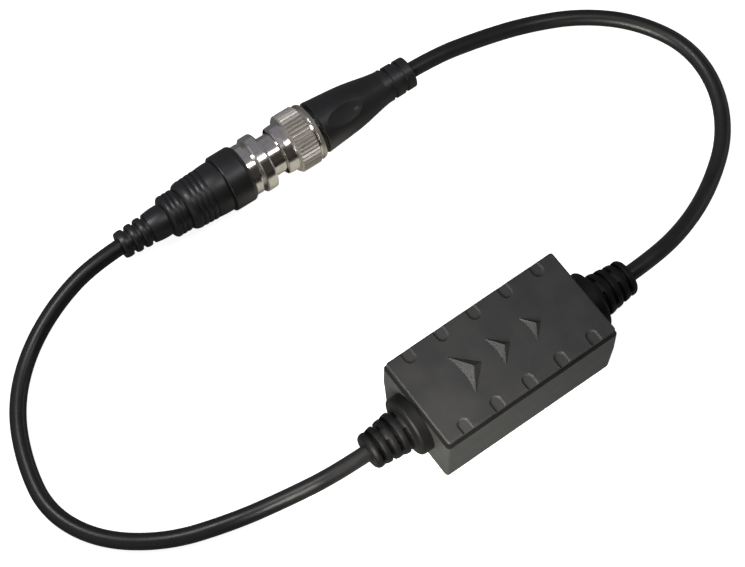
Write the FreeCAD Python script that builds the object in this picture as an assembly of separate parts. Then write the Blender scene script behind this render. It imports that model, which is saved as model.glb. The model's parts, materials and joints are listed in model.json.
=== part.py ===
import FreeCAD, Part
import math
import os

# In-line video ground loop isolator: a small moulded housing with a coaxial cord out of each end.
# One cord ends in a bayonet jack, the other in a bayonet plug, and the two are mated and locked.
# Lengths are in millimetres. The origin is the centre of the housing's underside, +X runs along
# the housing from the jack's cord to the plug's cord, and +Z is up.

# Housing
case_length = 45.6
case_width = 23.6
case_height = 19.4
case_wall = 2.0
case_floor = 1.6
case_corner = 0.8
cavity_corner = 0.4
end_taper = 0.45
side_taper = 0.35
taper_height = 9.8
underside_chamfer = 0.2
cover_inset = 0.4
cover_corner = 0.7
cover_lip = 0.9
cover_thickness = 1.7
cover_edge_round = 0.35
shadow_gap = 1.45
shadow_depth = 1.3
spigot_depth = 1.5
spigot_wall = 1.2

# Marks on the cover
arrow_tips = (-5.45, 2.2, 10.5)
arrow_lengths = (5.5, 4.1, 3.5)
arrow_line = -0.35
arrow_aspect = 1.96
arrow_back_bow = 0.15
arrow_ridge_place = 0.62
arrow_ridge_height = 0.8
pocket_count = 5
pocket_spacing = 8.6
pocket_length = 2.9
pocket_reach = 3.35
pocket_depth = 0.35
pocket_draft = 0.4

# Strain reliefs
relief_height = 10.3
relief_neck = 3.9
inner_flange_radius = 5.0
inner_flange_thickness = 1.5
outer_flange_radius = 7.15
outer_flange_length = 2.8
outer_flange_round = 0.6
relief_shoulder = 1.25
relief_root_radius = 5.2
relief_tip_radius = 4.3
relief_tip_length = 1.9
relief_tip_round = 0.35
relief_length = 12.55
relief_grip = 4.85
relief_grooves = 4
relief_groove_width = 0.95
relief_groove_depth = 0.95
relief_crown = 0.22
groove_web_angle = 34.0

# Circuit board and transformer
board_length = 33.0
board_width = 16.5
board_thickness = 1.2
board_height = 4.0
board_corner = 0.8
post_radius = 1.6
stake_radius = 0.6
stake_stand = 0.7
post_inset = 1.9
core_length = 13.0
core_width = 13.2
core_depth = 4.0
core_back = 1.6
core_leg = 3.2
core_side_leg = 1.6
bobbin_wall = 0.6
bobbin_flange = 0.7
winding_build = 1.9
winding_corner = 0.9

# Cable
cord_diameter = 3.8
core_diameter = 1.8
core_bend = 2.5
core_board_inset = 1.5

# Place of the mated connectors: their common axis lies flat and nearly along X
connector_x = -11.4
connector_y = 72.1
connector_z = 7.3
connector_turn = -1.5

# Jack, on the connectors' own axis with +X from jack to plug
jack_flange_front = -0.6
jack_flange_length = 2.9
jack_flange_radius = 6.85
jack_flange_round = 0.5
jack_neck_length = 0.9
jack_neck_radius = 5.3
jack_collar_length = 1.6
jack_collar_radius = 6.2
jack_barrel_length = 10.6
jack_barrel_radius = 4.825
jack_bore_radius = 4.15
jack_bore_depth = 9.8
jack_shank_radius = 4.7
jack_shank_length = 11.0
lug_radius = 1.0
lug_span = 11.0
lug_setback = 4.8
lug_angle = 112.0
insulator_radius = 3.3
insulator_web = 1.5
nose_radius = 2.375
nose_setback = 2.0
contact_radius = 0.9
pin_radius = 0.675
socket_depth = 6.0
contact_slot = 0.25
contact_slot_length = 4.2
contact_setback = 0.3
contact_tail = 3.0
tail_radius = 1.7
sleeve_wall = 0.65
sleeve_length = 8.0
boot_grip = 5.8

# Jack boot, from its cable end: beads and a tail, a ringed bulge, a notch, a ringed grip, a front
jack_boot_length = 32.8
mouth_radius = 3.2
bead_count = 3
bead_pitch = 2.35
bead_gap = 0.9
bead_gap_depth = 0.7
bead_crown = 0.16
boot_tail_end = 11.9
boot_tail_radius = 3.97
bulge_end = 16.0
bulge_radius = 5.15
bulge_shoulder = 0.7
bulge_rings = 2
notch_width = 0.5
notch_radius = 4.6
grip_end = 26.6
grip_start_radius = 5.9
grip_end_radius = 6.32
grip_shoulder = 1.1
grip_rings = 4
grip_ring_pitch = 1.3
boot_ring_width = 0.3
boot_ring_depth = 0.3
boot_crown = 0.08
boot_front_radius = 6.88
boot_front_round = 0.7

# Plug
gasket_thickness = 0.6
plug_flange_thickness = 0.6
plug_flange_radius = 5.8
plug_neck_radius = 4.6
plug_neck_length = 2.4
finger_radius = 4.05
finger_wall = 0.55
finger_reach = 9.4
finger_slot = 0.5
finger_slot_length = 5.0
plug_shank_length = 6.0
plug_web = 1.5
plug_pin_tail = 2.5
pin_reach = 7.4
pin_point = 0.8
face_gap = 0.2
wave_height = 0.4
wave_wire = 0.2
wave_count = 3
washer_ease = 0.15
thrust_thickness = 0.25
clip_thickness = 0.3
clip_bite = 0.3
clip_ease = 0.35
clip_gap_angle = 24.0
clip_gap_place = 150.0
rim_thickness = 0.35

# Plug boot: a smooth taper to a neck with two ring grooves, and a finger rest on two sides
plug_boot_length = 25.8
plug_boot_radius = 6.45
plug_boot_taper = ((4.3, 6.06), (10.7, 5.35), (14.7, 4.58))
plug_nose_length = 0.35
plug_nose_radius = 5.6
neck_start = 18.1
neck_radius = 3.98
neck_end_radius = 3.85
neck_end_round = 0.3
neck_groove_places = (5.8, 2.7)
neck_groove_width = 1.0
neck_groove_depth = 0.55
rest_place = 9.3
rest_curve = 30.0
rest_floor = 5.27
rest_angle = 32.0

# Coupling ring
ring_bore_radius = 4.9
ring_sleeve_radius = 5.95
ring_lip = 2.3
knurl_start = 2.8
knurl_length = 5.2
knurl_radius = 7.25
knurl_count = 48
knurl_depth = 0.35
knurl_share = 0.8
knurl_bevel = 0.5
ring_groove_width = 0.75
ring_groove_radius = 6.5
ring_rim_radius = 7.0
ring_rear_radius = 6.55
ring_rear_round = 0.3
ring_mouth_length = 1.2
ring_mouth_round = 0.35
ring_travel = 0.9
ring_turn = 90.0
slot_clearance = 0.22
seat_ease = 0.03
track_overcut = 0.3
shoulder_clearance = 0.3

# Small edges and clearances between pieces
edge_break = 0.3
seat_clearance = 0.05
running_clearance = 0.05
stack_clearance = 0.02
rest_clearance = 0.1

# The cords' routes, chosen by hand along the cords' centre lines
jack_route = [
    (-44.39, 72.96, 7.3), (-56.38, 73.28, 7.3), (-69.0, 71.0, 4.6), (-80.5, 65.5, 1.95),
    (-89.5, 56.3, 1.95), (-94.8, 44.5, 1.95), (-97.0, 32.0, 1.95), (-91.6, 20.2, 1.95),
    (-80.0, 11.3, 1.95), (-66.6, 6.1, 4.3), (-54.6, 2.4, 8.1), (-42.5, 0.0, 10.3),
    (-30.5, 0.0, 10.3),
]
plug_route = [
    (22.19, 71.22, 7.3), (34.18, 70.91, 7.3), (46.8, 69.6, 4.7), (59.5, 67.3, 1.95),
    (71.3, 61.6, 1.95), (80.8, 52.8, 1.95), (86.5, 41.0, 1.95), (85.3, 28.5, 1.95),
    (78.6, 17.2, 1.95), (67.5, 9.0, 2.9), (54.8, 2.8, 7.6), (42.5, 0.0, 10.3),
    (30.5, 0.0, 10.3),
]

# Sizes that follow from the ones above
cord_radius = cord_diameter / 2
core_radius = core_diameter / 2
rim_height = case_height - cover_lip - shadow_gap
lip_height = case_height - cover_lip
cavity_length = case_length - 2 * case_wall
cavity_width = case_width - 2 * case_wall
cover_length = case_length - 2 * cover_inset
cover_width = case_width - 2 * cover_inset
board_top = board_height + board_thickness
sleeve_bore = tail_radius + seat_clearance
sleeve_radius = sleeve_bore + sleeve_wall
barrel_front = jack_flange_front + jack_barrel_length
lug_x = barrel_front - lug_setback
flange_back = jack_flange_front - jack_flange_length
collar_front = flange_back - jack_neck_length
collar_back = collar_front - jack_collar_length
jack_boot_end = collar_back - jack_boot_length
jack_cord_start = jack_boot_end + boot_grip
plug_flange_front = barrel_front + gasket_thickness
plug_flange_back = plug_flange_front + plug_flange_thickness
wave_start = plug_flange_back + stack_clearance
thrust_start = wave_start + wave_height + stack_clearance
clip_start = thrust_start + thrust_thickness + stack_clearance
ring_front = lug_x - ring_lip
ring_rear = clip_start + clip_thickness + 2 * stack_clearance + rim_thickness
plug_boot_front = plug_flange_back + plug_neck_length
plug_boot_end = plug_boot_front + plug_boot_length
plug_cord_start = plug_boot_end - boot_grip
cavity_radius = plug_flange_radius + running_clearance
insulator_back = collar_back - jack_shank_length + insulator_web
contact_back = insulator_back - contact_tail
plug_shank_back = plug_boot_front + plug_shank_length
pin_seat = plug_shank_back - plug_web
pin_back = pin_seat + plug_pin_tail

X_AXIS = FreeCAD.Vector(1, 0, 0)
Z_AXIS = FreeCAD.Vector(0, 0, 1)
ORIGIN = FreeCAD.Vector(0, 0, 0)


def vec(x, y, z):
    return FreeCAD.Vector(x, y, z)


def turned(outline, sweep=360.0):
    # A solid turned about the X axis from a closed outline of (x, radius) points.
    # A list inside the outline is a smooth curve through its points. A point that repeats the
    # one before it is left out.
    edges = []
    first = vec(outline[0][0], 0, outline[0][1])
    last = first
    for step in outline[1:] + [outline[0]]:
        if isinstance(step, list):
            through = [last] + [vec(x, 0, r) for x, r in step]
            curve = Part.BSplineCurve()
            curve.interpolate(through)
            edges.append(curve.toShape())
            last = through[-1]
        else:
            point = vec(step[0], 0, step[1])
            if point.distanceToPoint(last) > 1e-7:
                edges.append(Part.LineSegment(last, point).toShape())
            last = point
    face = Part.Face(Part.Wire(edges))
    return face.revolve(ORIGIN, X_AXIS, sweep)


def ridges(places, gap, depth, r0, r1, crown):
    # The outline of crowned ridges from the first place to the last, with a groove of width gap
    # at each place between. The crests run from radius r0 to radius r1.
    slope = (r1 - r0) / (places[-1] - places[0])
    outline = []
    start = places[0]
    for place in places[1:]:
        ends = place == places[-1]
        stop = place if ends else place - gap / 2
        low = r0 + slope * (start - places[0])
        high = r0 + slope * (stop - places[0])
        outline += [(start, low - crown), [((start + stop) / 2, (low + high) / 2), (stop, high - crown)]]
        if not ends:
            start = place + gap / 2
            floor = min(high - depth, high - crown)
            outline += [(stop, floor), (start, floor)]
    return outline


def tube(x0, x1, outer, inner):
    return turned([(x0, inner), (x0, outer), (x1, outer), (x1, inner)])


def rod(x0, x1, radius):
    return Part.makeCylinder(radius, x1 - x0, vec(x0, 0, 0), X_AXIS)


def about_x(shape, angle):
    copy = shape.copy()
    copy.rotate(ORIGIN, X_AXIS, angle)
    return copy


def box(x0, x1, y0, y1, z0, z1):
    return Part.makeBox(x1 - x0, y1 - y0, z1 - z0, vec(x0, y0, z0))


def rounded_outline(length, width, corner, z):
    # A rectangle with round corners, as one wire at height z.
    x = length / 2
    y = width / 2
    c = corner
    bend = c * (1 - math.sqrt(0.5))
    points = [
        [(x, -y + c), (x, y - c)], [(x, y - c), (x - bend, y - bend), (x - c, y)],
        [(x - c, y), (-x + c, y)], [(-x + c, y), (-x + bend, y - bend), (-x, y - c)],
        [(-x, y - c), (-x, -y + c)], [(-x, -y + c), (-x + bend, -y + bend), (-x + c, -y)],
        [(-x + c, -y), (x - c, -y)], [(x - c, -y), (x - bend, -y + bend), (x, -y + c)],
    ]
    edges = []
    for group in points:
        ends = [vec(px, py, z) for px, py in group]
        if len(ends) == 2:
            edges.append(Part.LineSegment(ends[0], ends[1]).toShape())
        else:
            edges.append(Part.Arc(ends[0], ends[1], ends[2]).toShape())
    return Part.Wire(edges)


def rounded_block(length, width, corner, z0, z1):
    return Part.Face(rounded_outline(length, width, corner, z0)).extrude(vec(0, 0, z1 - z0))


def wall_slot(side, radius, x0, x1, top):
    # A round-bottomed slot through a short wall, open at the top.
    slot = rod(x0, x1, radius)
    slot.translate(vec(0, 0, relief_height))
    slot = slot.fuse(box(x0, x1, -radius, radius, relief_height, top))
    if side < 0:
        slot.rotate(ORIGIN, Z_AXIS, 180)
    return slot


def post_places():
    x = board_length / 2 - post_inset
    y = board_width / 2 - post_inset
    return [(sx * x, sy * y) for sx in (-1, 1) for sy in (-1, 1)]


def housing_base():
    # The lower part of the walls leans in towards the underside.
    length = case_length - 2 * end_taper
    width = case_width - 2 * side_taper
    foot = rounded_outline(length - 2 * underside_chamfer, width - 2 * underside_chamfer,
                           case_corner - underside_chamfer, 0)
    ankle = rounded_outline(length, width, case_corner, underside_chamfer)
    waist = rounded_outline(case_length, case_width, case_corner, taper_height)
    shell = Part.makeLoft([foot, ankle, waist], True, True)
    shell = shell.fuse(rounded_block(case_length, case_width, case_corner,
                                     taper_height, rim_height))
    shell = shell.cut(rounded_block(cavity_length, cavity_width, cavity_corner,
                                    case_floor, rim_height + 1))
    for side in (-1, 1):
        shell = shell.cut(wall_slot(side, relief_neck + seat_clearance,
                                    cavity_length / 2 - 1, case_length / 2 + 1, rim_height + 1))
    stake_top = board_top + stake_stand
    for x, y in post_places():
        post = Part.makeCylinder(post_radius, board_height - case_floor, vec(x, y, case_floor))
        stake = Part.makeCylinder(stake_radius, stake_top - board_height, vec(x, y, board_height))
        shell = shell.fuse([post, stake])
    return shell.removeSplitter()


def arrow_mark(tip, length):
    # A low arrowhead with a bowed back: every slope rises to one point above its middle.
    half = length * arrow_aspect / 2
    tail = tip - length
    ends = [vec(tail, half, case_height), vec(tip, 0, case_height), vec(tail, -half, case_height)]
    bow = vec(tail + arrow_back_bow * length, 0, case_height)
    outline = Part.Wire([
        Part.LineSegment(ends[0], ends[1]).toShape(),
        Part.LineSegment(ends[1], ends[2]).toShape(),
        Part.Arc(ends[2], bow, ends[0]).toShape(),
    ])
    peak = Part.Vertex(tip - length * (1 - arrow_ridge_place), 0, case_height + arrow_ridge_height)
    mark = Part.makeLoft([outline, peak], True, True)
    mark.translate(vec(0, arrow_line, 0))
    return mark


def edge_pocket(x, side):
    # A shallow D with sloping walls, open at the cover's long edge.
    edge = cover_width / 2 + 1.0
    centre = cover_width / 2 - pocket_reach + pocket_length / 2
    wires = []
    for grow, z in ((-pocket_draft, case_height - pocket_depth), (pocket_draft, case_height + pocket_depth)):
        r = pocket_length / 2 + grow
        a = vec(x - r, side * edge, z)
        b = vec(x - r, side * centre, z)
        c = vec(x, side * (centre - r), z)
        d = vec(x + r, side * centre, z)
        e = vec(x + r, side * edge, z)
        wires.append(Part.Wire([
            Part.LineSegment(a, b).toShape(), Part.Arc(b, c, d).toShape(),
            Part.LineSegment(d, e).toShape(), Part.LineSegment(e, a).toShape(),
        ]))
    return Part.makeLoft(wires, True, True)


def housing_cover():
    cap = rounded_block(cover_length, cover_width, cover_corner, lip_height, case_height)
    top_edges = [e for e in cap.Edges if min(v.Z for v in e.Vertexes) > case_height - 1e-6]
    cap = cap.makeFillet(min(cover_edge_round, 0.6 * cover_lip), top_edges)
    neck = rounded_block(case_length - 2 * shadow_depth, case_width - 2 * shadow_depth,
                         cavity_corner, rim_height, lip_height)
    spigot_length = cavity_length - 2 * rest_clearance
    spigot_width = cavity_width - 2 * rest_clearance
    spigot = rounded_block(spigot_length, spigot_width, cavity_corner,
                           rim_height - spigot_depth, rim_height)
    cover = cap.fuse([neck, spigot])
    # A tab on each short side closes the wall slot above the strain relief's neck.
    for side in (-1, 1):
        tab = box(cavity_length / 2 + seat_clearance, case_length / 2 - seat_clearance,
                  -relief_neck, relief_neck, relief_height, rim_height)
        web = box(cavity_length / 2 - 1, case_length / 2 - seat_clearance,
                  -relief_neck, relief_neck, rim_height - spigot_depth, rim_height)
        neck_space = rod(cavity_length / 2 - 1, case_length / 2 + 1, relief_neck + seat_clearance)
        neck_space.translate(vec(0, 0, relief_height))
        tab = tab.fuse(web).cut(neck_space)
        if side < 0:
            tab.rotate(ORIGIN, Z_AXIS, 180)
        cover = cover.fuse(tab)
    cover = cover.cut(rounded_block(spigot_length - 2 * spigot_wall, spigot_width - 2 * spigot_wall,
                                    cavity_corner, 0, case_height - cover_thickness))
    for tip, length in zip(arrow_tips, arrow_lengths):
        cover = cover.fuse(arrow_mark(tip, length))
    middle = (pocket_count - 1) / 2
    pockets = [edge_pocket((i - middle) * pocket_spacing, side)
               for i in range(pocket_count) for side in (-1, 1)]
    return cover.cut(pockets)


def ring_sectors(x, width, inner, outer, start):
    # Two arcs of a ring groove, with a web left on each side of it.
    sweep = 180.0 - groove_web_angle
    sector = turned([(x - width / 2, inner), (x - width / 2, outer),
                     (x + width / 2, outer), (x + width / 2, inner)], sweep)
    return [about_x(sector, start + groove_web_angle / 2 + half) for half in (0, 180)]


def strain_relief(side):
    wall_in = cavity_length / 2
    wall_out = case_length / 2
    back = wall_in - inner_flange_thickness
    flange_end = wall_out + outer_flange_length
    root = flange_end + relief_shoulder
    end = wall_out + relief_length
    tip = end - relief_tip_length
    jacket_stop = end - relief_grip
    bore = cord_radius + seat_clearance
    core_bore = core_radius + seat_clearance
    r = outer_flange_round
    places = [root + i * (tip - root) / (relief_grooves - 1) for i in range(relief_grooves)]
    fall = (relief_root_radius - relief_tip_radius) / (relief_grooves - 1)
    top = relief_root_radius - relief_crown
    outline = [
        (back, core_bore), (back, inner_flange_radius), (wall_in, inner_flange_radius),
        (wall_in, relief_neck), (wall_out, relief_neck), (wall_out, outer_flange_radius),
        (flange_end - r, outer_flange_radius),
        [(flange_end - 0.2 * r, outer_flange_radius - 0.35 * r),
         (flange_end + 0.3 * relief_shoulder, top + 0.3 * (outer_flange_radius - top)), (root, top)],
    ]
    outline += ridges(places, 0, 0, relief_root_radius, relief_tip_radius, relief_crown)
    outline += ridges([tip, end - relief_tip_round], 0, 0,
                      relief_tip_radius, relief_tip_radius, relief_crown)
    outline += [
        (end, relief_tip_radius - relief_crown - relief_tip_round),
        (end, bore), (jacket_stop, bore), (jacket_stop, core_bore),
    ]
    body = turned(outline)
    for i, x in enumerate(places):
        floor = relief_root_radius - i * fall - relief_groove_depth
        body = body.cut(ring_sectors(x, relief_groove_width, floor, outer_flange_radius, 90 * i))
    body.translate(vec(0, 0, relief_height))
    if side < 0:
        body.rotate(ORIGIN, Z_AXIS, 180)
    return body


def circuit_board():
    board = rounded_block(board_length, board_width, board_corner, board_height, board_top)
    for x, y in post_places():
        board = board.cut(Part.makeCylinder(stake_radius + rest_clearance, board_thickness + 1,
                                            vec(x, y, board_height - 0.5)))
    return board


bobbin_inner_y = core_leg / 2 + seat_clearance
bobbin_inner_z = core_depth / 2 + seat_clearance
bobbin_outer_y = bobbin_inner_y + bobbin_wall
bobbin_outer_z = bobbin_inner_z + bobbin_wall
window_y = core_width / 2 - core_side_leg
window_x = core_length / 2 - core_back
flange_half_y = window_y - rest_clearance
flange_half_z = bobbin_outer_z + winding_build + rest_clearance
transformer_z = board_top + flange_half_z


def transformer_bobbin():
    # A square tube around the middle leg, with a flange at each end and one between the coils.
    length = 2 * (window_x - rest_clearance)
    body = box(-length / 2, length / 2, -bobbin_outer_y, bobbin_outer_y, -bobbin_outer_z, bobbin_outer_z)
    for centre in (-length / 2 + bobbin_flange / 2, 0, length / 2 - bobbin_flange / 2):
        body = body.fuse(box(centre - bobbin_flange / 2, centre + bobbin_flange / 2,
                             -flange_half_y, flange_half_y, -flange_half_z, flange_half_z))
    body = body.cut(box(-core_length, core_length, -bobbin_inner_y, bobbin_inner_y,
                        -bobbin_inner_z, bobbin_inner_z))
    body.translate(vec(0, 0, transformer_z))
    return body.removeSplitter()


def core_half(side):
    # An E-shaped ferrite half; the two meet at the middle of the bobbin.
    gap = stack_clearance / 2
    body = box(gap, core_length / 2, -core_width / 2, core_width / 2, -core_depth / 2, core_depth / 2)
    for way in (-1, 1):
        low, high = sorted((way * core_leg / 2, way * window_y))
        body = body.cut(box(0, window_x, low, high, -core_depth, core_depth))
    if side < 0:
        body.rotate(ORIGIN, Z_AXIS, 180)
    body.translate(vec(0, 0, transformer_z))
    return body


def winding(side):
    # One coil, wound in the bay between the middle flange and an end flange.
    inner_y = bobbin_outer_y + seat_clearance
    inner_z = bobbin_outer_z + seat_clearance
    start = bobbin_flange / 2 + seat_clearance
    end = window_x - rest_clearance - bobbin_flange - seat_clearance
    outer = rounded_block(2 * (inner_z + winding_build), 2 * (inner_y + winding_build),
                          winding_corner, start, end)
    hole = rounded_block(2 * inner_z, 2 * inner_y, seat_clearance, start - 1, end + 1)
    body = outer.cut(hole)
    body.rotate(ORIGIN, FreeCAD.Vector(0, 1, 0), 90)
    if side < 0:
        body.rotate(ORIGIN, Z_AXIS, 180)
    body.translate(vec(0, 0, transformer_z))
    return body


def box_core(side):
    # The stripped cable core, from the jacket's end in the relief down to the board.
    start = case_length / 2 + relief_length - relief_grip
    drop = board_length / 2 - core_board_inset
    turn = drop + core_bend
    low = relief_height - core_bend
    knee = core_bend * (1 - math.sqrt(0.5))
    path = Part.Wire([
        Part.LineSegment(vec(start, 0, relief_height), vec(turn, 0, relief_height)).toShape(),
        Part.Arc(vec(turn, 0, relief_height), vec(drop + knee, 0, relief_height - knee),
                 vec(drop, 0, low)).toShape(),
        Part.LineSegment(vec(drop, 0, low), vec(drop, 0, board_top)).toShape(),
    ])
    ring = Part.Wire(Part.makeCircle(core_radius, vec(start, 0, relief_height), X_AXIS))
    body = path.makePipeShell([ring], True, True)
    if side < 0:
        body.rotate(ORIGIN, Z_AXIS, 180)
    return body


def jack_body():
    shank_back = collar_back - jack_shank_length
    tail_end = jack_cord_start + stack_clearance
    r = jack_flange_round
    body = turned([
        (barrel_front, jack_bore_radius), (barrel_front, jack_barrel_radius - edge_break),
        (barrel_front - edge_break, jack_barrel_radius),
        (jack_flange_front + r, jack_barrel_radius),
        [(jack_flange_front + 0.3 * r, jack_barrel_radius + 0.3 * r),
         (jack_flange_front, jack_barrel_radius + r)],
        (jack_flange_front, jack_flange_radius - r),
        [(jack_flange_front - 0.3 * r, jack_flange_radius - 0.3 * r),
         (jack_flange_front - r, jack_flange_radius)],
        (flange_back + edge_break, jack_flange_radius),
        (flange_back, jack_flange_radius - edge_break),
        (flange_back, jack_neck_radius), (collar_front, jack_neck_radius),
        (collar_front, jack_collar_radius), (collar_back, jack_collar_radius),
        (collar_back, jack_shank_radius), (shank_back, jack_shank_radius),
        (shank_back, tail_radius), (tail_end, tail_radius), (tail_end, core_radius + seat_clearance),
        (insulator_back, core_radius + seat_clearance), (insulator_back, insulator_radius),
        (barrel_front - jack_bore_depth, insulator_radius),
        (barrel_front - jack_bore_depth, jack_bore_radius),
    ])
    # Two bayonet lugs stand out of the barrel, opposite each other.
    foot = (jack_bore_radius + jack_barrel_radius) / 2
    for turn in (0, 180):
        lug = Part.makeCylinder(lug_radius, lug_span / 2 - foot, vec(lug_x, foot, 0), vec(0, 1, 0))
        body = body.fuse(about_x(lug, lug_angle + turn))
    return body


def jack_insulator():
    radius = insulator_radius - seat_clearance
    step = barrel_front - jack_bore_depth
    nose_front = barrel_front - nose_setback
    return turned([
        (insulator_back + seat_clearance, contact_radius + seat_clearance),
        (insulator_back + seat_clearance, radius), (step, radius), (step, nose_radius),
        (nose_front - edge_break, nose_radius), (nose_front, nose_radius - edge_break),
        (nose_front, contact_radius + seat_clearance),
    ])


def jack_contact():
    # A socket with two slots, so that it grips the pin.
    front = barrel_front - nose_setback - contact_setback
    bore = pin_radius + running_clearance
    body = rod(contact_back, front, contact_radius)
    body = body.cut(rod(front - socket_depth, front + 1, bore))
    slit = box(front - contact_slot_length, front + 1, -contact_radius, contact_radius,
               -contact_slot / 2, contact_slot / 2)
    return body.cut(slit)


def crimp_sleeve(cord_end, way):
    # The sleeve that holds the braid, from the cord's jacket towards the connector.
    near = cord_end + way * stack_clearance
    far = near + way * sleeve_length
    return tube(min(near, far), max(near, far), sleeve_radius, sleeve_bore)


def boot_cavity(front, shank_end, shank_radius, tail_end, cord_start, boot_end):
    # The space in a boot for the shank, the crimp sleeve and the cord's jacket.
    gap = seat_clearance
    way = 1 if front > boot_end else -1
    return turned([
        (front + way, 0), (front + way, shank_radius + gap),
        (shank_end - way * gap, shank_radius + gap), (shank_end - way * gap, tail_radius + gap),
        (tail_end + way * gap, tail_radius + gap), (tail_end + way * gap, sleeve_radius + gap),
        (cord_start, sleeve_radius + gap), (cord_start, cord_radius + gap),
        (boot_end - way, cord_radius + gap), (boot_end - way, 0),
    ])


def jack_boot():
    end = jack_boot_end
    front = collar_back - stack_clearance
    tail = end + boot_tail_end
    # Beads on a slow taper at the cable end, and the tail behind them.
    beads = [end] + [end + (i + 1) * bead_pitch for i in range(bead_count)] + [tail]
    outline = [(end, 0)]
    outline += ridges(beads, bead_gap, bead_gap_depth, mouth_radius, boot_tail_radius, bead_crown)
    # A round shoulder up to the bulge, with its ring grooves evenly spaced.
    bulge = tail + bulge_shoulder
    bulge_stop = end + bulge_end
    rings = [bulge + i * (bulge_stop - bulge) / (bulge_rings + 1) for i in range(bulge_rings + 2)]
    rise = bulge_radius - boot_crown - boot_tail_radius
    outline.append([(tail + 0.35 * bulge_shoulder, boot_tail_radius + 0.6 * rise),
                    (bulge, bulge_radius - boot_crown)])
    outline += ridges(rings, boot_ring_width, boot_ring_depth, bulge_radius, bulge_radius, boot_crown)
    # A notch, and a second shoulder up to the grip. Its last ridge is the wide one.
    notch_stop = bulge_stop + notch_width
    outline += [(bulge_stop, notch_radius), (notch_stop, notch_radius),
                (notch_stop, bulge_radius - boot_crown)]
    grip = notch_stop + grip_shoulder
    grip_stop = end + grip_end
    rise = grip_start_radius - bulge_radius
    outline.append([(notch_stop + 0.4 * grip_shoulder, bulge_radius - boot_crown + 0.65 * rise),
                    (grip, grip_start_radius - boot_crown)])
    rings = [grip + i * grip_ring_pitch for i in range(grip_rings + 1)] + [grip_stop]
    outline += ridges(rings, boot_ring_width, boot_ring_depth,
                      grip_start_radius, grip_end_radius, boot_crown)
    # The wide front, with round edges.
    floor = grip_end_radius - boot_crown - boot_ring_depth
    rim = grip_stop + boot_ring_width
    r = boot_front_round
    outline += [
        (grip_stop, floor), (rim, floor), (rim, boot_front_radius - r / 2),
        [(rim + 0.15 * r, boot_front_radius - 0.15 * r), (rim + r / 2, boot_front_radius)],
        (front - 2 * r, boot_front_radius),
        [(front - 0.6 * r, boot_front_radius - 0.3 * r), (front, boot_front_radius - r)],
        (front, 0),
    ]
    shank_back = collar_back - jack_shank_length
    sleeve_end = jack_cord_start + sleeve_length
    return turned(outline).cut(boot_cavity(front, shank_back, jack_shank_radius, sleeve_end,
                                           jack_cord_start, end))


def plug_body():
    front = barrel_front - finger_reach
    gap = seat_clearance
    shank_back = plug_shank_back
    tail_end = plug_cord_start - stack_clearance
    bore = finger_radius - finger_wall
    body = turned([
        (front, bore), (front, finger_radius - edge_break / 2), (front + edge_break, finger_radius),
        (plug_flange_front, finger_radius), (plug_flange_front, plug_flange_radius),
        (plug_flange_back, plug_flange_radius), (plug_flange_back, plug_neck_radius),
        (shank_back, plug_neck_radius), (shank_back, tail_radius), (tail_end, tail_radius),
        (tail_end, core_radius + gap), (pin_seat, core_radius + gap), (pin_seat, bore),
    ])
    slot = box(front - 1, front + finger_slot_length, -finger_slot / 2, finger_slot / 2,
               -2 * finger_radius, 2 * finger_radius)
    return body.cut([slot, about_x(slot, 90)])


def plug_insulator():
    radius = finger_radius - finger_wall - seat_clearance
    front = barrel_front - finger_reach + face_gap
    floor = barrel_front - nose_setback + face_gap
    back = pin_seat - seat_clearance
    hole = pin_radius + running_clearance
    return turned([
        (front, nose_radius + seat_clearance), (front, radius), (back, radius), (back, hole),
        (floor, hole), (floor, nose_radius + seat_clearance),
    ])


def plug_pin():
    tip = barrel_front - pin_reach
    return turned([
        (tip, 0), [(tip + 0.2 * pin_point, 0.45 * pin_radius), (tip + pin_point, pin_radius)],
        (pin_seat, pin_radius), (pin_seat, contact_radius), (pin_back, contact_radius), (pin_back, 0),
    ])


def plug_boot():
    front = plug_boot_front
    end = plug_boot_end
    r = neck_end_round
    taper = [(front + x, radius) for x, radius in plug_boot_taper]
    outer = turned([
        (front - plug_nose_length, 0), (front - plug_nose_length, plug_nose_radius),
        (front, plug_nose_radius), (front, plug_boot_radius - edge_break / 2),
        (front + edge_break / 2, plug_boot_radius),
        taper + [(front + neck_start, neck_radius)],
        (end - r, neck_end_radius), [(end - 0.3 * r, neck_end_radius - 0.3 * r), (end, neck_end_radius - r)],
        (end, 0),
    ])
    for turn in (0, 180):
        scoop = Part.makeSphere(rest_curve, vec(front + rest_place, 0, rest_floor + rest_curve))
        outer = outer.cut(about_x(scoop, turn + rest_angle))
    half = neck_groove_width / 2
    for place in neck_groove_places:
        outer = outer.cut(tube(end - place - half, end - place + half, plug_boot_radius,
                               neck_radius - neck_groove_depth))
    sleeve_end = plug_cord_start - sleeve_length
    return outer.cut(boot_cavity(front, plug_shank_back, plug_neck_radius, sleeve_end,
                                 plug_cord_start, end))


def plug_gasket():
    return tube(barrel_front + stack_clearance, plug_flange_front - stack_clearance,
                jack_barrel_radius, finger_radius + seat_clearance)


def wave_washer():
    # A thin washer bent into waves: its height is taken up between flange and thrust washer.
    inner = plug_neck_radius + washer_ease
    outer = plug_flange_radius - washer_ease
    steps = 4 * wave_count
    mid = wave_start + wave_height / 2
    swing = (wave_height - wave_wire) / 2
    loops = []
    for radius in (inner, outer):
        points = []
        for i in range(steps):
            angle = 2 * math.pi * i / steps
            points.append(vec(mid - wave_wire / 2 + swing * math.cos(wave_count * angle),
                              radius * math.cos(angle), radius * math.sin(angle)))
        curve = Part.BSplineCurve()
        curve.interpolate(Points=points, PeriodicFlag=True)
        loops.append(curve.toShape())
    sheet = Part.makeRuledSurface(loops[0], loops[1])
    return sheet.extrude(vec(wave_wire, 0, 0))


def thrust_washer():
    return tube(thrust_start, thrust_start + thrust_thickness,
                cavity_radius - rest_clearance, plug_neck_radius + running_clearance)


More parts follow.
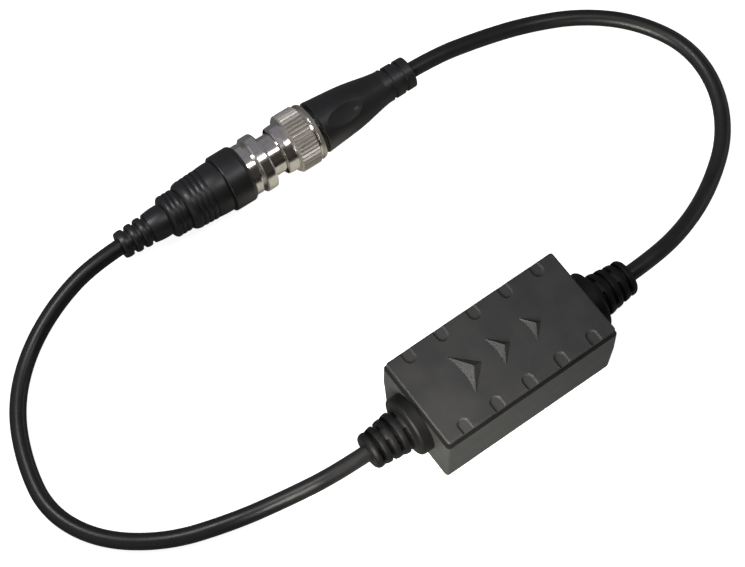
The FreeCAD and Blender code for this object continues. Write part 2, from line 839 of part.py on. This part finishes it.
def ring_retainer():
    # An open spring clip that sits in a groove inside the ring's rear end.
    clip = tube(clip_start, clip_start + clip_thickness, cavity_radius + clip_bite,
                plug_neck_radius + clip_ease)
    gap = turned([(clip_start - 1, 1), (clip_start - 1, knurl_radius),
                  (clip_start + 2, knurl_radius), (clip_start + 2, 1)], clip_gap_angle)
    return clip.cut(about_x(gap, clip_gap_place - clip_gap_angle / 2))


def coupling_ring():
    knurl_from = ring_front + knurl_start
    knurl_to = knurl_from + knurl_length
    rim_from = knurl_to + ring_groove_width
    clip_end = clip_start + clip_thickness
    shoulder = plug_flange_front - ring_travel - shoulder_clearance
    ring = turned([
        (ring_front, ring_bore_radius), (ring_front, ring_sleeve_radius - ring_mouth_round),
        (ring_front + 0.2 * ring_mouth_length, ring_sleeve_radius - 0.3 * ring_mouth_round),
        (ring_front + ring_mouth_length, ring_sleeve_radius),
        (knurl_from - knurl_bevel / 2, ring_sleeve_radius), (knurl_from, knurl_radius - knurl_bevel),
        (knurl_from + knurl_bevel, knurl_radius), (knurl_to - edge_break, knurl_radius),
        (knurl_to, knurl_radius - edge_break), (knurl_to, ring_groove_radius),
        (rim_from, ring_groove_radius), (rim_from, ring_rim_radius),
        (ring_rear - ring_rear_round, ring_rear_radius + ring_rear_round),
        (ring_rear, ring_rear_radius),
        (ring_rear, cavity_radius), (clip_end + stack_clearance, cavity_radius),
        (clip_end + stack_clearance, cavity_radius + clip_bite + stack_clearance),
        (clip_start - stack_clearance, cavity_radius + clip_bite + stack_clearance),
        (clip_start - stack_clearance, cavity_radius),
        (shoulder, cavity_radius), (shoulder, ring_bore_radius),
    ])
    # Straight knurl: a V groove between each two teeth.
    half = math.pi * knurl_radius / knurl_count * knurl_share
    deep = knurl_radius - knurl_depth
    vee = Part.Face(Part.makePolygon([
        vec(knurl_from - 1, 0, deep), vec(knurl_from - 1, -2 * half, knurl_radius + knurl_depth),
        vec(knurl_from - 1, 2 * half, knurl_radius + knurl_depth), vec(knurl_from - 1, 0, deep),
    ])).extrude(vec(knurl_length + 1 + stack_clearance, 0, 0))
    ring = ring.cut([about_x(vee, 360.0 * i / knurl_count) for i in range(knurl_count)])
    for track in bayonet_tracks():
        ring = ring.cut(track)
    return ring


def bayonet_tracks():
    # Inside the ring, two tracks lead a lug in from the front edge and round to its locked seat.
    # The seat is a touch wider and deeper than the track, so the lug drops into it.
    half_width = lug_radius + slot_clearance
    deep = lug_span / 2 + slot_clearance / 2
    shallow = ring_bore_radius - track_overcut
    lead_in = lug_x - ring_travel
    helix = Part.makeHelix(ring_travel * 360.0 / ring_turn, ring_travel, (deep + shallow) / 2)
    profile = Part.makePolygon([
        vec(shallow, 0, -half_width), vec(deep, 0, -half_width),
        vec(deep, 0, half_width), vec(shallow, 0, half_width), vec(shallow, 0, -half_width),
    ])
    sweep = Part.BRepOffsetAPI.MakePipeShell(Part.Wire(helix))
    sweep.setFrenetMode(True)
    sweep.add(profile)
    sweep.build()
    sweep.makeSolid()
    cam = sweep.shape()
    # The sweep climbs about +Z from +X; a third of a turn makes it climb about +X from +Y.
    cam.rotate(ORIGIN, vec(1, 1, 1), 120)
    cam.translate(vec(lead_in, 0, 0))
    along_y = vec(0, 1, 0)
    seat_depth = deep + seat_ease - shallow
    seat = Part.makeCylinder(half_width + seat_ease, seat_depth, vec(lug_x, shallow, 0), along_y)
    mouth = half_width - seat_ease
    entry = box(ring_front - 1, lead_in, shallow, deep + seat_ease, -mouth, mouth)
    entry = entry.fuse(Part.makeCylinder(mouth, seat_depth, vec(lead_in, shallow, 0), along_y))
    tracks = []
    for turn in (0, 180):
        start = lug_angle - ring_turn + turn
        tracks += [about_x(cam, start), about_x(entry, start), about_x(seat, lug_angle + turn)]
    return tracks


def route_arc(before, corner, after):
    # The arc that rounds one corner of a route, and its radius.
    back = before - corner
    on = after - corner
    shorter = min(back.Length, on.Length)
    turn = math.pi - back.getAngle(on)
    cut = 0.45 * shorter
    radius = cut / math.tan(turn / 2)
    back.normalize()
    on.normalize()
    inward = back + on
    inward.normalize()
    reach = radius / math.cos(turn / 2) - radius
    return corner + back * cut, corner + inward * reach, corner + on * cut, radius


def cord_tube(name, route, radius):
    points = [vec(*p) for p in route]
    edges = []
    radii = []
    last = points[0]
    for before, corner, after in zip(points, points[1:], points[2:]):
        start, middle, end, bend = route_arc(before, corner, after)
        edges.append(Part.LineSegment(last, start).toShape())
        edges.append(Part.Arc(start, middle, end).toShape())
        radii.append(round(bend, 1))
        last = end
    edges.append(Part.LineSegment(last, points[-1]).toShape())
    path = Part.Wire(edges)
    ring = Part.Wire(Part.makeCircle(radius, points[0], points[1] - points[0]))
    body = path.makePipeShell([ring], True, True)
    expected = math.pi * radius ** 2 * path.Length
    print(name, "bend radii", radii, "length", round(path.Length, 1),
          "volume", round(body.Volume, 1), "section times length", round(expected, 1))
    return body


def placed(shape):
    # From the connectors' own axis to where they lie behind the housing.
    copy = shape.copy()
    copy.rotate(ORIGIN, Z_AXIS, connector_turn)
    copy.translate(vec(connector_x, connector_y, connector_z))
    return copy


def all_parts():
    return {
        "housing_base": housing_base(),
        "housing_cover": housing_cover(),
        "strain_relief_jack_side": strain_relief(-1),
        "strain_relief_plug_side": strain_relief(1),
        "circuit_board": circuit_board(),
        "transformer_bobbin": transformer_bobbin(),
        "core_half_jack_side": core_half(-1),
        "core_half_plug_side": core_half(1),
        "primary_winding": winding(-1),
        "secondary_winding": winding(1),
        "jack_side_box_core": box_core(-1),
        "plug_side_box_core": box_core(1),
        "jack_cord": cord_tube("jack cord", jack_route, cord_radius),
        "plug_cord": cord_tube("plug cord", plug_route, cord_radius),
        "jack_boot": placed(jack_boot()),
        "jack_body": placed(jack_body()),
        "jack_insulator": placed(jack_insulator()),
        "jack_contact": placed(jack_contact()),
        "jack_crimp_sleeve": placed(crimp_sleeve(jack_cord_start, 1)),
        "jack_cable_core": placed(rod(jack_cord_start, contact_back, core_radius)),
        "plug_boot": placed(plug_boot()),
        "plug_body": placed(plug_body()),
        "plug_insulator": placed(plug_insulator()),
        "plug_pin": placed(plug_pin()),
        "plug_gasket": placed(plug_gasket()),
        "plug_crimp_sleeve": placed(crimp_sleeve(plug_cord_start, -1)),
        "plug_cable_core": placed(rod(pin_back, plug_cord_start, core_radius)),
        "wave_washer": placed(wave_washer()),
        "thrust_washer": placed(thrust_washer()),
        "ring_retainer": placed(ring_retainer()),
        "coupling_ring": placed(coupling_ring()),
    }


def main():
    os.makedirs("parts", exist_ok=True)
    for name, shape in all_parts().items():
        if not shape.isValid() or len(shape.Solids) < 1:
            print("check", name, "valid", shape.isValid(), "solids", len(shape.Solids))
        shape.exportStep("parts/" + name + ".step")
        print(name, "solids", len(shape.Solids), "volume", round(shape.Volume, 2))


main()
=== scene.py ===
import bmesh
import bpy
import json
import math
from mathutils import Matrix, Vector


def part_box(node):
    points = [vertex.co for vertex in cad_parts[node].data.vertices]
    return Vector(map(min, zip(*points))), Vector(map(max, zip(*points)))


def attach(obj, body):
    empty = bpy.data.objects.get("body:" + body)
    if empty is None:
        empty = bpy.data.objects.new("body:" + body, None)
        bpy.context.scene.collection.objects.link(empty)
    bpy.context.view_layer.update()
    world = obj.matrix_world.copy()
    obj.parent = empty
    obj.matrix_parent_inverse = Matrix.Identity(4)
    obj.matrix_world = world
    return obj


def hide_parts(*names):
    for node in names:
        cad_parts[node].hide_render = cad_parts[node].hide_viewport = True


# Looks of an in-line video ground loop isolator: a small moulded housing, two black cords and a
# mated pair of nickelled bayonet connectors. Lengths are in metres, in the part's own frame.

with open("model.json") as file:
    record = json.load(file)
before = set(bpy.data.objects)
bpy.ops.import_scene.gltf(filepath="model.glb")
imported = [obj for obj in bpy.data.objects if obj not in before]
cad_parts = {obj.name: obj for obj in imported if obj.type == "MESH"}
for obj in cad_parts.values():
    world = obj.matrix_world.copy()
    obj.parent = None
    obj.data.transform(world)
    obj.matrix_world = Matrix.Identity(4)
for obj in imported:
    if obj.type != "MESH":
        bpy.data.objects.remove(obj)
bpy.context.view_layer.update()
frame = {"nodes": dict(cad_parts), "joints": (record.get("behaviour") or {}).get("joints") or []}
nodes = frame["nodes"]
mm = 0.001

# Camera
camera_place = Vector((-153.62, -164.04, 537.01)) * mm
camera_target = Vector((-8.22, 35.35, 0)) * mm
camera_lens = 127.47
camera_sensor = 36.0

# Softboxes: name, place, aim, width and power
softboxes = (
    ("overhead_softbox", (0.149, -0.100, 0.610), (-0.011, 0.072, 0.007), 0.14, 0.42),
    ("back_softbox", (-0.180, 0.204, 0.540), (0.000, 0.000, 0.019), 0.10, 0.95),
)

# A low warm spot on the housing, from the left
spot_place = (-0.075, -0.035, 0.060)
spot_aim = (0.0, 0.0, 0.012)
spot_width = 0.05
spot_cone = math.radians(58)
spot_power = 0.95
spot_colour = (1.0, 0.96, 0.87)

# Room: one colour for each way that the plated parts can mirror
room_back = (0.23, 0.23, 0.265)
room_front = (0.045, 0.040, 0.036)
room_left = (0.38, 0.38, 0.40)
room_right = (0.12, 0.12, 0.125)
room_low_right = (0.80, 0.78, 0.72)
room_seen = (0.97, 0.97, 0.97)

# Floor as it is seen, and as the object mirrors it: dim, with a pale patch before the plated parts
floor_reach = 6.0
floor_colour = (0.86, 0.86, 0.86)
floor_glow = (0.86, 0.86, 0.86)
mirrored_colour = (0.20, 0.20, 0.20)
front_glow = (0.055, 0.075, 0.070)
back_glow = (0.02, 0.02, 0.02)
front_to_back = (20 * mm, 35 * mm)
patch_place = (-0.004, 0.050, 0.0)
patch_edge = (12 * mm, 23 * mm)
patch_glow = (0.42, 0.40, 0.34)

# Cords, each from the housing to its connector
cord_diameter = 3.8 * mm
jack_route = [
    (-0.0305, 0.0, 0.0103), (-0.0425, 0.0, 0.0103), (-0.0546, 0.0024, 0.0081),
    (-0.0666, 0.0061, 0.0043), (-0.08, 0.0113, 0.00195), (-0.0916, 0.0202, 0.00195),
    (-0.097, 0.032, 0.00195), (-0.0948, 0.0445, 0.00195), (-0.0895, 0.0563, 0.00195),
    (-0.0805, 0.0655, 0.00195), (-0.069, 0.071, 0.0046), (-0.05638, 0.07328, 0.0073),
    (-0.04439, 0.07296, 0.0073),
]
plug_route = [
    (0.0305, 0.0, 0.0103), (0.0425, 0.0, 0.0103), (0.0548, 0.0028, 0.0076),
    (0.0675, 0.009, 0.0029), (0.0786, 0.0172, 0.00195), (0.0853, 0.0285, 0.00195),
    (0.0865, 0.041, 0.00195), (0.0808, 0.0528, 0.00195), (0.0713, 0.0616, 0.00195),
    (0.0595, 0.0673, 0.00195), (0.0468, 0.0696, 0.0047), (0.03418, 0.07091, 0.0073),
    (0.02219, 0.07122, 0.0073),
]

# The connectors' common axis, as the ring's joint gives it, and the height of the reliefs' axis
ring_joint = next(joint for joint in frame["joints"] if joint["name"] == "ring_turn")
axis_point = Vector(ring_joint["pos_m"])
axis_way = Vector(ring_joint["axis"]).normalized()
relief_height = jack_route[0][2]

# The open seam between the housing's base and the lip of its cover
seam_gap = 1.45 * mm
seam_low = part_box("housing_base")[1].z
seam_high = seam_low + seam_gap
# A near-black colour painted into the seam: a painted shadow, where the cover's lip shades the gap
painted_seam_shadow = (0.002, 0.002, 0.002)

# The lid's flat top: its edge pockets lie below it, and its arrows stand above it. Both have
# this share of the moulded grain's depth taken away.
lid_height = 19.4 * mm
calm_share = 0.85

# How far in from an edge the moulded housing is rubbed, and the soft step of a mask's border
worn_width = 0.9 * mm
border = 0.1 * mm


def make_camera():
    camera = bpy.data.objects.new("camera", bpy.data.cameras.new("camera"))
    camera.data.lens = camera_lens
    camera.data.sensor_width = camera_sensor
    camera.data.clip_start = 0.01
    camera.location = camera_place
    camera.rotation_mode = "QUATERNION"
    camera.rotation_quaternion = (camera_target - camera_place).to_track_quat("-Z", "Y")
    bpy.context.scene.collection.objects.link(camera)
    bpy.context.scene.camera = camera


def make_cord(name, node, route):
    """A free cord along a smooth curve, from the strain relief to the connector's boot."""
    curve = bpy.data.curves.new(name, "CURVE")
    curve.dimensions = "3D"
    curve.resolution_u = 24
    curve.bevel_depth = 1.0
    curve.bevel_resolution = 10
    curve.use_fill_caps = True
    spline = curve.splines.new("NURBS")
    spline.points.add(len(route) - 1)
    for point, place in zip(spline.points, route):
        point.co = (*place, 1)
        point.radius = cord_diameter / 2
    spline.order_u = 3
    spline.use_endpoint_u = True
    cord = bpy.data.objects.new(name, curve)
    bpy.context.scene.collection.objects.link(cord)
    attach(cord, "isolator")
    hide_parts(node)
    return cord


make_camera()
jack_cord = make_cord("jack_cord_jacket", "jack_cord", jack_route)
plug_cord = make_cord("plug_cord_jacket", "plug_cord", plug_route)


class Value:
    """A number that varies over a surface, for use in plain expressions."""

    def __init__(self, tree, socket):
        self.tree = tree
        self.socket = socket

    def math(self, operation, *terms):
        return self.tree.add("Math", {"operation": operation}, dict(enumerate(terms)))

    def __add__(self, other):
        return self.math("ADD", self, other)

    def __radd__(self, other):
        return self.math("ADD", other, self)

    def __sub__(self, other):
        return self.math("SUBTRACT", self, other)

    def __rsub__(self, other):
        return self.math("SUBTRACT", other, self)

    def __mul__(self, other):
        return self.math("MULTIPLY", self, other)

    def __rmul__(self, other):
        return self.math("MULTIPLY", other, self)

    def __abs__(self):
        return self.math("ABSOLUTE", self)

    def highest(self, other):
        return self.math("MAXIMUM", self, other)

    def wave(self, pitch):
        """Swings from -1 to 1 and back over each pitch."""
        angle = self * (2 * math.pi / pitch)
        return angle.math("SINE", angle)

    def step(self, low, high):
        """Rises smoothly from 0 at low to 1 at high."""
        return self.tree.add("MapRange", {"interpolation_type": "SMOOTHSTEP"},
                             {"Value": self, "From Min": low, "From Max": high})


class Tree:
    """The nodes of one material or of the world."""

    def __init__(self, owner):
        owner.use_nodes = True
        self.owner = owner
        self.tree = owner.node_tree

    def add(self, kind, settings=None, inputs=None, output=0):
        node = self.tree.nodes.new("ShaderNode" + kind)
        for name, setting in (settings or {}).items():
            setattr(node, name, setting)
        for name, value in (inputs or {}).items():
            self.feed(node.inputs[name], value)
        return Value(self, node.outputs[output])

    def feed(self, socket, value):
        if isinstance(value, Value):
            self.tree.links.new(value.socket, socket)
        else:
            socket.default_value = value

    def place(self):
        return self.add("TexCoord", output="Object")

    def split(self, vector):
        return [self.add("SeparateXYZ", inputs={0: vector}, output=way) for way in "XYZ"]

    def vector(self, operation, first, second, output="Vector"):
        return self.add("VectorMath", {"operation": operation}, {0: first, 1: second}, output)

    def noise(self, place, size, detail=2.0, roughness=0.5):
        return self.add("TexNoise", inputs={"Vector": place, "Scale": 1 / size,
                                            "Detail": detail, "Roughness": roughness})

    def lines(self, along, size):
        """Irregular lines across a length, such as turning marks."""
        return self.add("TexNoise", {"noise_dimensions": "1D"},
                        {"W": along, "Scale": 1 / size, "Detail": 3.0})

    def mix(self, factor, first, second):
        return self.add("Mix", {"data_type": "RGBA"},
                        {0: factor, 6: self.colour(first), 7: self.colour(second)}, 2)

    @staticmethod
    def colour(shade):
        return shade if isinstance(shade, Value) else (*shade, 1.0)

    def bump(self, height, depth):
        return self.add("Bump", inputs={"Height": height, "Distance": depth, "Strength": 1.0})

    def surface(self, **sockets):
        principled = self.tree.nodes["Principled BSDF"]
        for name, value in sockets.items():
            self.feed(principled.inputs[name.replace("_", " ")], value)
        return self.owner


def finish_tree(name):
    return Tree(bpy.data.materials.new(name))


def about_axis(tree):
    """How far along the connectors' axis a point lies, and how far out from it."""
    offset = tree.vector("SUBTRACT", tree.place(), axis_point)
    along = tree.vector("DOT_PRODUCT", offset, axis_way, "Value")
    out = tree.vector("CROSS_PRODUCT", offset, axis_way)
    return along, tree.add("VectorMath", {"operation": "LENGTH"}, {0: out}, "Value")


def moulded_case(name, node, base, light, rubbed_shade):
    """Black moulded plastic with a spark-eroded grain: rubbed at its edges, painted near black in
    its open seam as a painted shadow, and duller in the lid's pockets and along the lip's long
    sides, where nothing rubs it. There and on the arrows the grain is shallower."""
    low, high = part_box(node)
    tree = finish_tree(name)
    place = tree.place()
    x, y, z = tree.split(place)
    grain = tree.noise(place, 0.30 * mm, 3.0, 0.6)
    cloud = tree.noise(place, 9 * mm, 4.0, 0.6)
    edge_x = abs(x).step(high.x - worn_width, high.x)
    edge_y = abs(y).step(high.y - worn_width, high.y)
    top = z.step(high.z - 0.8 * mm, high.z - border)
    rim = (edge_x * edge_y).highest(edge_x.highest(edge_y) * top)
    rubbed = rim * tree.noise(place, 3 * mm, 4.0, 0.6).step(0.35, 0.7)
    shade = tree.mix(cloud.step(0.3, 0.7), base, light)
    shade = tree.mix(rubbed * 0.4, shade, rubbed_shade)
    above_seam = z.step(seam_high, seam_high + border)
    # Painted shadow: the open seam between base and lip is painted near black, where the lip shades
    # it
    seam = z.step(seam_low - border, seam_low) * (1 - above_seam)
    shade = tree.mix(seam * 0.85, shade, painted_seam_shadow)
    sunk = above_seam * (1 - z.step(lid_height - border, lid_height)) * (1 - edge_x)
    rough = 0.37 + 0.14 * cloud - 0.05 * rubbed + 0.35 * sunk
    raised = z.step(lid_height, lid_height + border)
    grain = (grain - 0.5) * (1 - calm_share * sunk.highest(raised))
    return tree.surface(Base_Color=shade, Roughness=rough, Specular_IOR_Level=0.4,
                        Normal=tree.bump(grain, 0.016 * mm))


def soft_plastic(name, base, light, rough, grain_size, gloss=0.5, seam_height=None):
    """Soft satin plastic with a few paler dust marks, and the mould's parting line if asked."""
    tree = finish_tree(name)
    place = tree.place()
    grain = tree.noise(place, grain_size, 3.0, 0.6)
    cloud = tree.noise(place, 7 * mm, 4.0, 0.6)
    dust = tree.noise(place, 0.7 * mm, 2.0, 0.7).step(0.66, 0.8)
    shade = tree.mix(cloud.step(0.3, 0.7), base, light)
    shade = tree.mix(dust * 0.15, shade, (0.05, 0.05, 0.05))
    height = grain
    if seam_height is not None:
        z = tree.split(place)[2]
        height = grain * 0.4 + (1 - abs(z - seam_height).step(0.03 * mm, 0.12 * mm))
    return tree.surface(Base_Color=shade, Roughness=rough + 0.16 * cloud,
                        Specular_IOR_Level=gloss, Normal=tree.bump(height, 0.02 * mm))


def plated(name, bright, dull, rough, worn_from=None, satin_from=None):
    """Bright plating with fine turning marks. Each pair of radii says where a change sets in: up to
    worn_from the plating is dull, and beyond satin_from, on a knurl, it is satin."""
    tree = finish_tree(name)
    place = tree.place()
    along, out = about_axis(tree)
    rings = tree.lines(along, 0.2 * mm)
    cloud = tree.noise(place, 1.6 * mm, 4.0, 0.65)
    stain = cloud.step(0.5, 0.75) * 0.5
    if worn_from:
        stain = stain.highest(1 - out.step(*worn_from))
    rough = rough + 0.10 * cloud + 0.05 * rings + 0.1 * stain
    if satin_from:
        satin = out.step(*satin_from)
        rough = rough + 0.22 * satin
        stain = stain.highest(satin * 0.4)
    return tree.surface(Base_Color=tree.mix(stain, bright, dull), Metallic=1.0, Roughness=rough,
                        Normal=tree.bump(rings * 0.5 + cloud * 0.5, 0.010 * mm))


def turned_plastic(name, base, light):
    """Pale insulating plastic with turning marks."""
    tree = finish_tree(name)
    place = tree.place()
    along, out = about_axis(tree)
    rings = tree.lines(along + out, 0.15 * mm)
    cloud = tree.noise(place, 2 * mm, 3.0, 0.6)
    return tree.surface(Base_Color=tree.mix(cloud.step(0.3, 0.7), base, light),
                        Roughness=0.32 + 0.15 * cloud,
                        Normal=tree.bump(rings * 0.6 + cloud * 0.4, 0.012 * mm))


def drawn_plastic(name, base, light):
    """Natural cable insulation, drawn smooth, with a faint mottle."""
    tree = finish_tree(name)
    place = tree.place()
    cloud = tree.noise(place, 1.2 * mm, 4.0, 0.6)
    fine = tree.noise(place, 0.12 * mm, 2.0)
    return tree.surface(Base_Color=tree.mix(cloud.step(0.35, 0.7), base, light),
                        Roughness=0.3 + 0.2 * cloud, Subsurface_Weight=0.15,
                        Normal=tree.bump(fine, 0.006 * mm))


def solder_resist(name):
    """Green lacquer over glass cloth, with the tracks showing through a shade paler."""
    tree = finish_tree(name)
    place = tree.place()
    x, y = tree.split(place)[:2]
    drift = tree.noise(place, 5 * mm, 2.0)
    tracks = abs((y + drift * (3 * mm)).wave(5 * mm)).step(0.88, 0.93)
    tracks = tracks * tree.noise(place, 6 * mm, 1.0).step(0.42, 0.5)
    weave = x.wave(0.5 * mm) * y.wave(0.5 * mm)
    shade = tree.mix(weave * 0.5 + 0.5, (0.030, 0.155, 0.062), (0.038, 0.180, 0.075))
    shade = tree.mix(tracks, shade, (0.075, 0.270, 0.105))
    return tree.surface(Base_Color=shade, Roughness=0.22 + 0.12 * drift, Coat_Weight=0.4,
                        Normal=tree.bump(tracks + weave * 0.15, 0.03 * mm))


def fired_ferrite(name):
    """Dark ground ferrite: pitted, with paler rubbed grain, and its pits painted near black as
    painted shade.
    """
    tree = finish_tree(name)
    place = tree.place()
    grain = tree.noise(place, 0.14 * mm, 3.0, 0.7)
    pits = tree.noise(place, 0.5 * mm, 2.0, 0.6).step(0.62, 0.7)
    shade = tree.mix(grain.step(0.4, 0.7), (0.060, 0.060, 0.066), (0.115, 0.115, 0.122))
    # Painted shade: the sunken pits are painted near black
    shade = tree.mix(pits, shade, (0.020, 0.020, 0.022))
    return tree.surface(Base_Color=shade, Roughness=0.5 + 0.3 * grain, Metallic=0.25,
                        Normal=tree.bump(grain - pits, 0.02 * mm))


def wound_copper(name):
    """Many turns of fine enamelled wire side by side, each painted paler on its crown and darker in
    the crease between turns: painted highlight and painted shade.
    """
    tree = finish_tree(name)
    place = tree.place()
    x = tree.split(place)[0]
    wobble = tree.noise(place, 3 * mm, 2.0) * (0.12 * mm)
    wire = (x + wobble).wave(0.16 * mm) * 0.5 + 0.5
    cloud = tree.noise(place, 2 * mm, 3.0)
    # Painted highlight and shade: paler on each turn's crown, darker in the crease between turns
    shade = tree.mix(wire, (0.20, 0.06, 0.02), (0.62, 0.27, 0.12))
    shade = tree.mix(cloud.step(0.5, 0.8) * 0.4, shade, (0.45, 0.14, 0.06))
    return tree.surface(Base_Color=shade, Metallic=0.7, Roughness=0.28 + 0.15 * cloud,
                        Coat_Weight=0.5, Normal=tree.bump(wire, 0.05 * mm))


def rolled_spring(name):
    """Hard rolled strip, with rolling lines and a slight straw tint from its hardening."""
    tree = finish_tree(name)
    place = tree.place()
    y, z = tree.split(place)[1:]
    strokes = tree.lines(y + z * 0.3, 0.08 * mm)
    tint = tree.noise(place, 2.5 * mm, 3.0, 0.6)
    shade = tree.mix(tint.step(0.4, 0.7), (0.50, 0.50, 0.50), (0.48, 0.41, 0.31))
    return tree.surface(Base_Color=shade, Metallic=1.0, Roughness=0.26 + 0.2 * strokes,
                        Normal=tree.bump(strokes, 0.006 * mm))


def hang_lamp(light, place, aim, power):
    light.energy = power
    lamp = bpy.data.objects.new(light.name, light)
    lamp.location = place
    lamp.rotation_mode = "QUATERNION"
    lamp.rotation_quaternion = (Vector(aim) - Vector(place)).to_track_quat("-Z", "Y")
    lamp.visible_camera = False
    bpy.context.scene.collection.objects.link(lamp)


def make_lamps():
    for name, place, aim, size, power in softboxes:
        light = bpy.data.lights.new(name, "AREA")
        light.shape = "DISK"
        light.size = size
        hang_lamp(light, place, aim, power)
    spot = bpy.data.lights.new("left_spot", "SPOT")
    spot.shadow_soft_size = spot_width / 2
    spot.spot_size = spot_cone
    spot.spot_blend = 0.6
    spot.color = spot_colour
    hang_lamp(spot, spot_place, spot_aim, spot_power)


def make_room():
    """A room that is grey behind, dark in front and to the right, pale to the left, and has a
    pale band low on the right. The camera sees only a plain pale backdrop."""
    world = bpy.data.worlds.new("studio")
    bpy.context.scene.world = world
    tree = Tree(world)
    x, y, z = tree.split(tree.add("TexCoord", output="Generated"))
    front = (0 - y).step(0.30, 0.50)
    left = (0 - x).step(0.18, 0.50)
    right = x.step(0.32, 0.55)
    low_right = x.step(0.75, 0.85) * (0.35 - z).step(0.0, 0.1)
    seen = tree.add("LightPath", output="Is Camera Ray")
    shade = tree.mix(front, room_back, room_front)
    shade = tree.mix(left, shade, room_left)
    shade = tree.mix(right, shade, room_right)
    shade = tree.mix(low_right, shade, room_low_right)
    shade = tree.mix(seen, shade, room_seen)
    tree.feed(tree.tree.nodes["Background"].inputs["Color"], shade)


def make_floor():
    mesh = bpy.data.meshes.new("floor")
    form = bmesh.new()
    bmesh.ops.create_grid(form, x_segments=1, y_segments=1, size=floor_reach)
    form.to_mesh(mesh)
    form.free()
    floor = bpy.data.objects.new("floor", mesh)
    bpy.context.scene.collection.objects.link(floor)
    tree = finish_tree("pale_floor")
    seen = tree.add("LightPath", output="Is Camera Ray")
    place = tree.place()
    glow = tree.mix(tree.split(place)[1].step(*front_to_back), front_glow, back_glow)
    away = tree.vector("DISTANCE", place, patch_place, "Value")
    glow = tree.mix(away.step(*patch_edge), patch_glow, glow)
    floor.data.materials.append(tree.surface(
        Base_Color=tree.mix(seen, mirrored_colour, floor_colour),
        Emission_Color=tree.mix(seen, glow, floor_glow), Emission_Strength=1.0,
        Roughness=0.8, Specular_IOR_Level=0.0))


def dress(material, *names):
    for name in names:
        mesh = nodes[name].data
        mesh.materials.clear()
        mesh.materials.append(material)


make_lamps()
make_room()
make_floor()
bpy.context.scene.view_settings.view_transform = "Standard"

dress(moulded_case("case_black", "housing_base", (0.024, 0.025, 0.025), (0.031, 0.031, 0.031),
                   (0.060, 0.060, 0.060)), "housing_base")
dress(moulded_case("cover_black", "housing_cover", (0.017, 0.017, 0.018), (0.023, 0.023, 0.023),
                   (0.045, 0.045, 0.045)), "housing_cover")
dress(soft_plastic("relief_black", (0.003, 0.003, 0.003), (0.005, 0.005, 0.005), 0.42,
                   0.45 * mm, 0.20, relief_height),
      "strain_relief_jack_side", "strain_relief_plug_side")
dress(soft_plastic("boot_black", (0.003, 0.003, 0.003), (0.006, 0.006, 0.006), 0.33,
                   0.40 * mm, 0.80, axis_point.z), "jack_boot", "plug_boot")
dress(soft_plastic("gasket_grey", (0.10, 0.10, 0.10), (0.14, 0.14, 0.14), 0.5, 0.2 * mm),
      "plug_gasket")
dress(soft_plastic("bobbin_black", (0.045, 0.045, 0.046), (0.060, 0.060, 0.060), 0.42, 0.2 * mm),
      "transformer_bobbin")
dress(plated("body_nickel", (0.74, 0.71, 0.66), (0.33, 0.29, 0.24), 0.10,
             worn_from=(4.6 * mm, 4.8 * mm)), "jack_body")
dress(plated("plug_nickel", (0.70, 0.67, 0.62), (0.33, 0.29, 0.24), 0.16),
      "plug_body", "jack_crimp_sleeve", "plug_crimp_sleeve")
dress(plated("ring_nickel", (0.74, 0.71, 0.66), (0.36, 0.32, 0.27), 0.12,
             worn_from=(5.0 * mm, 5.4 * mm), satin_from=(6.55 * mm, 6.65 * mm)), "coupling_ring")
dress(plated("contact_gilt", (0.83, 0.62, 0.30), (0.55, 0.38, 0.17), 0.16),
      "jack_contact", "plug_pin")
dress(rolled_spring("spring_steel"), "wave_washer", "thrust_washer", "ring_retainer")
dress(turned_plastic("insulator_white", (0.84, 0.84, 0.81), (0.90, 0.90, 0.88)),
      "jack_insulator", "plug_insulator")
dress(drawn_plastic("core_natural", (0.76, 0.76, 0.70), (0.85, 0.85, 0.82)),
      "jack_side_box_core", "plug_side_box_core", "jack_cable_core", "plug_cable_core")
dress(solder_resist("board_green"), "circuit_board")
dress(fired_ferrite("core_ferrite"), "core_half_jack_side", "core_half_plug_side")
dress(wound_copper("coil_copper"), "primary_winding", "secondary_winding")
cord_black = soft_plastic("cord_black", (0.007, 0.007, 0.007), (0.011, 0.011, 0.011), 0.30,
                          0.7 * mm)
for cord in (jack_cord, plug_cord):
    cord.data.materials.append(cord_black)
